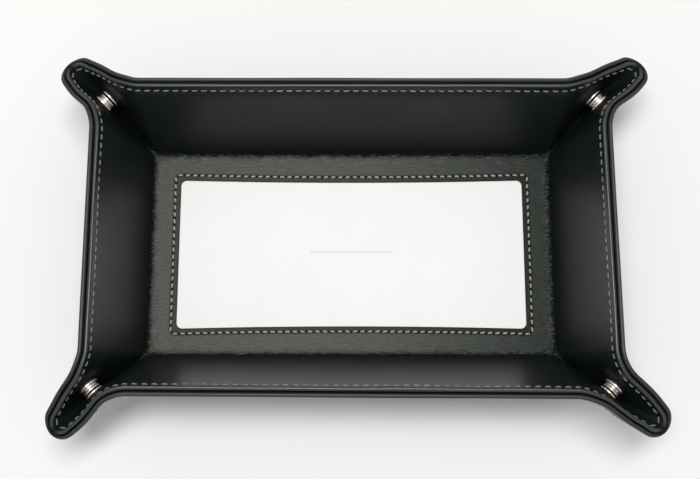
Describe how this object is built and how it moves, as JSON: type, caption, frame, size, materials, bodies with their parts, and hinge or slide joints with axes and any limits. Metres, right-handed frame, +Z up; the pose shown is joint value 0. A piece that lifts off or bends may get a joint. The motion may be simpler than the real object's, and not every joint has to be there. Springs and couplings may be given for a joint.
{
  "type": "valet tray",
  "caption": "Rectangular leather valet tray whose walls fold up and snap together at pinched corner ears held by press studs.",
  "frame": {"origin": "centre of the underside, on the surface that the tray stands on", "axes": "+X along the tray's length to its right end, +Y to the back wall, +Z up"},
  "size_m": [0.2894, 0.1894, 0.0512],
  "materials": {
    "cover_leather": "black grained leather with rounded turned edges",
    "lining_leather": "black finely grained leather, satin, topstitched in grey thread",
    "board": "grey-brown stiffener board, hidden between the leathers",
    "white_panel": "smooth matt white",
    "nickel": "bright nickel plate"
  },
  "bodies": {
    "base": {"base_cover": "cover_leather", "base_board": "board", "window_panel": "white_panel", "floor_lining": "lining_leather"},
    "back_wall": {"back_wall_cover": "cover_leather", "back_wall_board": "board", "back_wall_lining": "lining_leather"},
    "front_wall": {"front_wall_cover": "cover_leather", "front_wall_board": "board", "front_wall_lining": "lining_leather"},
    "right_wall": {"right_wall_cover": "cover_leather", "right_wall_board": "board", "right_wall_lining": "lining_leather"},
    "left_wall": {"left_wall_cover": "cover_leather", "left_wall_board": "board", "left_wall_lining": "lining_leather"},
    "back_right_ear_side": {"back_right_ear_side_cover": "cover_leather", "back_right_ear_side_lining": "lining_leather", "back_right_snap_cap": "nickel", "back_right_snap_socket": "nickel"},
    "back_right_ear_long": {"back_right_ear_long_cover": "cover_leather", "back_right_ear_long_lining": "lining_leather", "back_right_snap_post": "nickel", "back_right_snap_stud": "nickel"},
    "back_left_ear_side": {"back_left_ear_side_cover": "cover_leather", "back_left_ear_side_lining": "lining_leather", "back_left_snap_cap": "nickel", "back_left_snap_socket": "nickel"},
    "back_left_ear_long": {"back_left_ear_long_cover": "cover_leather", "back_left_ear_long_lining": "lining_leather", "back_left_snap_post": "nickel", "back_left_snap_stud": "nickel"},
    "front_right_ear_side": {"front_right_ear_side_cover": "cover_leather", "front_right_ear_side_lining": "lining_leather", "front_right_snap_cap": "nickel", "front_right_snap_socket": "nickel"},
    "front_right_ear_long": {"front_right_ear_long_cover": "cover_leather", "front_right_ear_long_lining": "lining_leather", "front_right_snap_post": "nickel", "front_right_snap_stud": "nickel"},
    "front_left_ear_side": {"front_left_ear_side_cover": "cover_leather", "front_left_ear_side_lining": "lining_leather", "front_left_snap_cap": "nickel", "front_left_snap_socket": "nickel"},
    "front_left_ear_long": {"front_left_ear_long_cover": "cover_leather", "front_left_ear_long_lining": "lining_leather", "front_left_snap_post": "nickel", "front_left_snap_stud": "nickel"}
  },
  "joints": [
    {"name": "back_wall_fold", "type": "hinge", "parent": "base", "child": "back_wall", "pos_m": [0, 0.05386, 0], "axis": [-1, 0, 0], "range_deg": [0, 61]},
    {"name": "front_wall_fold", "type": "hinge", "parent": "base", "child": "front_wall", "pos_m": [0, -0.05386, 0], "axis": [1, 0, 0], "range_deg": [0, 61]},
    {"name": "right_wall_fold", "type": "hinge", "parent": "base", "child": "right_wall", "pos_m": [0.10386, 0, 0], "axis": [0, 1, 0], "range_deg": [0, 61]},
    {"name": "left_wall_fold", "type": "hinge", "parent": "base", "child": "left_wall", "pos_m": [-0.10386, 0, 0], "axis": [0, -1, 0], "range_deg": [0, 61]},
    {"name": "back_right_ear_side_fold", "type": "hinge", "parent": "right_wall", "child": "back_right_ear_side", "pos_m": [0.1018, 0.05071, 0.00412], "axis": [0.3955, 0.2334, 0.8883], "range_deg": [0, 35.72]},
    {"name": "back_right_ear_long_fold", "type": "hinge", "parent": "back_wall", "child": "back_right_ear_long", "pos_m": [0.10071, 0.0518, 0.00412], "axis": [-0.2334, -0.3955, -0.8883], "range_deg": [0, 35.72]},
    {"name": "back_left_ear_side_fold", "type": "hinge", "parent": "left_wall", "child": "back_left_ear_side", "pos_m": [-0.1018, 0.05071, 0.00412], "axis": [0.3955, -0.2334, -0.8883], "range_deg": [0, 35.72]},
    {"name": "back_left_ear_long_fold", "type": "hinge", "parent": "back_wall", "child": "back_left_ear_long", "pos_m": [-0.10071, 0.0518, 0.00412], "axis": [-0.2334, 0.3955, 0.8883], "range_deg": [0, 35.72]},
    {"name": "front_right_ear_side_fold", "type": "hinge", "parent": "right_wall", "child": "front_right_ear_side", "pos_m": [0.1018, -0.05071, 0.00412], "axis": [-0.3955, 0.2334, -0.8883], "range_deg": [0, 35.72]},
    {"name": "front_right_ear_long_fold", "type": "hinge", "parent": "front_wall", "child": "front_right_ear_long", "pos_m": [0.10071, -0.0518, 0.00412], "axis": [0.2334, -0.3955, 0.8883], "range_deg": [0, 35.72]},
    {"name": "front_left_ear_side_fold", "type": "hinge", "parent": "left_wall", "child": "front_left_ear_side", "pos_m": [-0.1018, -0.05071, 0.00412], "axis": [-0.3955, -0.2334, 0.8883], "range_deg": [0, 35.72]},
    {"name": "front_left_ear_long_fold", "type": "hinge", "parent": "front_wall", "child": "front_left_ear_long", "pos_m": [-0.10071, -0.0518, 0.00412], "axis": [0.2334, 0.3955, -0.8883], "range_deg": [0, 35.72]}
  ],
  "couplings": [
    {"joint": "front_wall_fold", "follows": "back_wall_fold", "ratio": 1},
    {"joint": "right_wall_fold", "follows": "back_wall_fold", "ratio": 1},
    {"joint": "left_wall_fold", "follows": "back_wall_fold", "ratio": 1},
    {"joint": "back_right_ear_side_fold", "follows": "back_wall_fold", "ratio": 0.58469},
    {"joint": "back_right_ear_long_fold", "follows": "back_wall_fold", "ratio": 0.58469},
    {"joint": "back_left_ear_side_fold", "follows": "back_wall_fold", "ratio": 0.58469},
    {"joint": "back_left_ear_long_fold", "follows": "back_wall_fold", "ratio": 0.58469},
    {"joint": "front_right_ear_side_fold", "follows": "back_wall_fold", "ratio": 0.58469},
    {"joint": "front_right_ear_long_fold", "follows": "back_wall_fold", "ratio": 0.58469},
    {"joint": "front_left_ear_side_fold", "follows": "back_wall_fold", "ratio": 0.58469},
    {"joint": "front_left_ear_long_fold", "follows": "back_wall_fold", "ratio": 0.58469}
  ]
}
